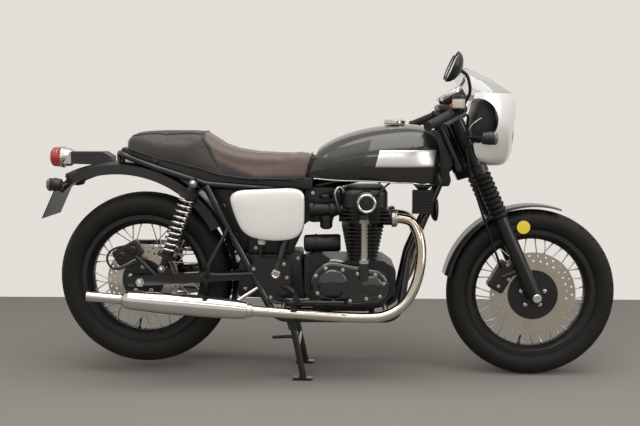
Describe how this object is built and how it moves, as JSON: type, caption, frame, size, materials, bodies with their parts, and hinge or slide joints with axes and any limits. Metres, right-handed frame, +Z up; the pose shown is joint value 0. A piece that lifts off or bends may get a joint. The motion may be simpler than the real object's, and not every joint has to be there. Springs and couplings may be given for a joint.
{
  "type": "cafe racer motorcycle",
  "caption": "Retro air-cooled twin road motorcycle with bikini fairing, humped seat, wire wheels and peashooter silencers, parked on its centre stand; wheels, steering and stands move.",
  "frame": {"origin": "on the floor under the middle of the length, in the middle plane", "axes": "+X towards the front wheel, +Y to the rider's left, +Z up"},
  "size_m": [2.1483, 0.784, 1.2376],
  "materials": {
    "tyre": "matt black road tyre",
    "wheel_black": "black anodised rim and hub, plain steel spokes",
    "disc_steel": "ground steel",
    "drive_steel": "oiled steel",
    "fork_black": "satin black",
    "gaiter_rubber": "ribbed rubber",
    "frame_black": "gloss black",
    "engine_black": "black coated casting",
    "chrome": "polished",
    "tank_paint": "gunmetal metallic gloss",
    "silver_paint": "silver metallic",
    "seat_cover": "dark two-tone synthetic leather",
    "black_plastic": "satin black moulding",
    "grip_rubber": "ribbed rubber",
    "screen": "clear acrylic",
    "lamp": "clear lens in a chrome rim",
    "tail_red": "red lens on a metal body",
    "indicator": "dark body, clear lens",
    "plate": "blank plate",
    "alloy": "machined alloy"
  },
  "bodies": {
    "steering": {"yokes": "fork_black", "fork_legs": "fork_black", "fork_gaiters": "gaiter_rubber", "front_axle": "alloy", "front_mudguard": "black_plastic", "handlebar": "fork_black", "grips": "grip_rubber", "hand_levers": "fork_black", "mirrors": "black_plastic", "fairing": "silver_paint", "windscreen": "screen", "headlamp": "lamp", "instruments": "black_plastic", "front_indicators": "indicator", "front_calliper": "fork_black", "front_brake_hose": "gaiter_rubber"},
    "front_wheel": {"front_tyre": "tyre", "front_wire_wheel": "wheel_black", "front_disc": "disc_steel"},
    "rear_wheel": {"rear_tyre": "tyre", "rear_wire_wheel": "wheel_black", "rear_disc": "disc_steel", "rear_sprocket": "drive_steel"},
    "centre_stand": {"centre_stand": "frame_black"},
    "side_stand": {"side_stand": "frame_black"},
    "frame": {"frame_backbone": "frame_black", "seat_rails": "frame_black", "frame_cradle": "frame_black", "crankcase": "engine_black", "engine_covers": "engine_black", "cylinder_barrel": "engine_black", "cylinder_head": "engine_black", "bevel_drive": "chrome", "throttle_bodies": "engine_black", "airbox": "black_plastic", "headers": "chrome", "silencers": "chrome", "fuel_tank": "tank_paint", "fuel_cap": "chrome", "seat": "seat_cover", "side_covers": "silver_paint", "rear_mudguard": "black_plastic", "tail_lamp": "tail_red", "plate_holder": "plate", "rear_indicators": "indicator", "swingarm": "frame_black", "rear_axle": "alloy", "shock_dampers": "chrome", "shock_springs": "chrome", "chain": "drive_steel", "chain_guard": "black_plastic", "rear_calliper": "fork_black", "rider_footrests": "frame_black", "passenger_footrests": "alloy", "foot_controls": "alloy", "rectifier": "engine_black"}
  },
  "joints": [
    {"name": "steering", "type": "hinge", "parent": "frame", "child": "steering", "pos_m": [0.70736, 0, 0.29461], "axis": [-0.4147, 0, 0.91], "range_deg": [-35, 35]},
    {"name": "front_wheel_spin", "type": "hinge", "parent": "steering", "child": "front_wheel", "pos_m": [0.7565, 0, 0.317], "axis": [0, 1, 0], "continuous": true},
    {"name": "rear_wheel_spin", "type": "hinge", "parent": "frame", "child": "rear_wheel", "pos_m": [-0.7085, 0, 0.37], "axis": [0, 1, 0], "continuous": true},
    {"name": "centre_stand_fold", "type": "hinge", "parent": "frame", "child": "centre_stand", "pos_m": [-0.1425, 0, 0.204], "axis": [0, 1, 0], "range_deg": [0, 82]},
    {"name": "side_stand_swing", "type": "hinge", "parent": "frame", "child": "side_stand", "pos_m": [-0.0185, 0.166, 0.205], "axis": [0, -0.932, -0.3624], "range_deg": [0, 101.7]}
  ]
}
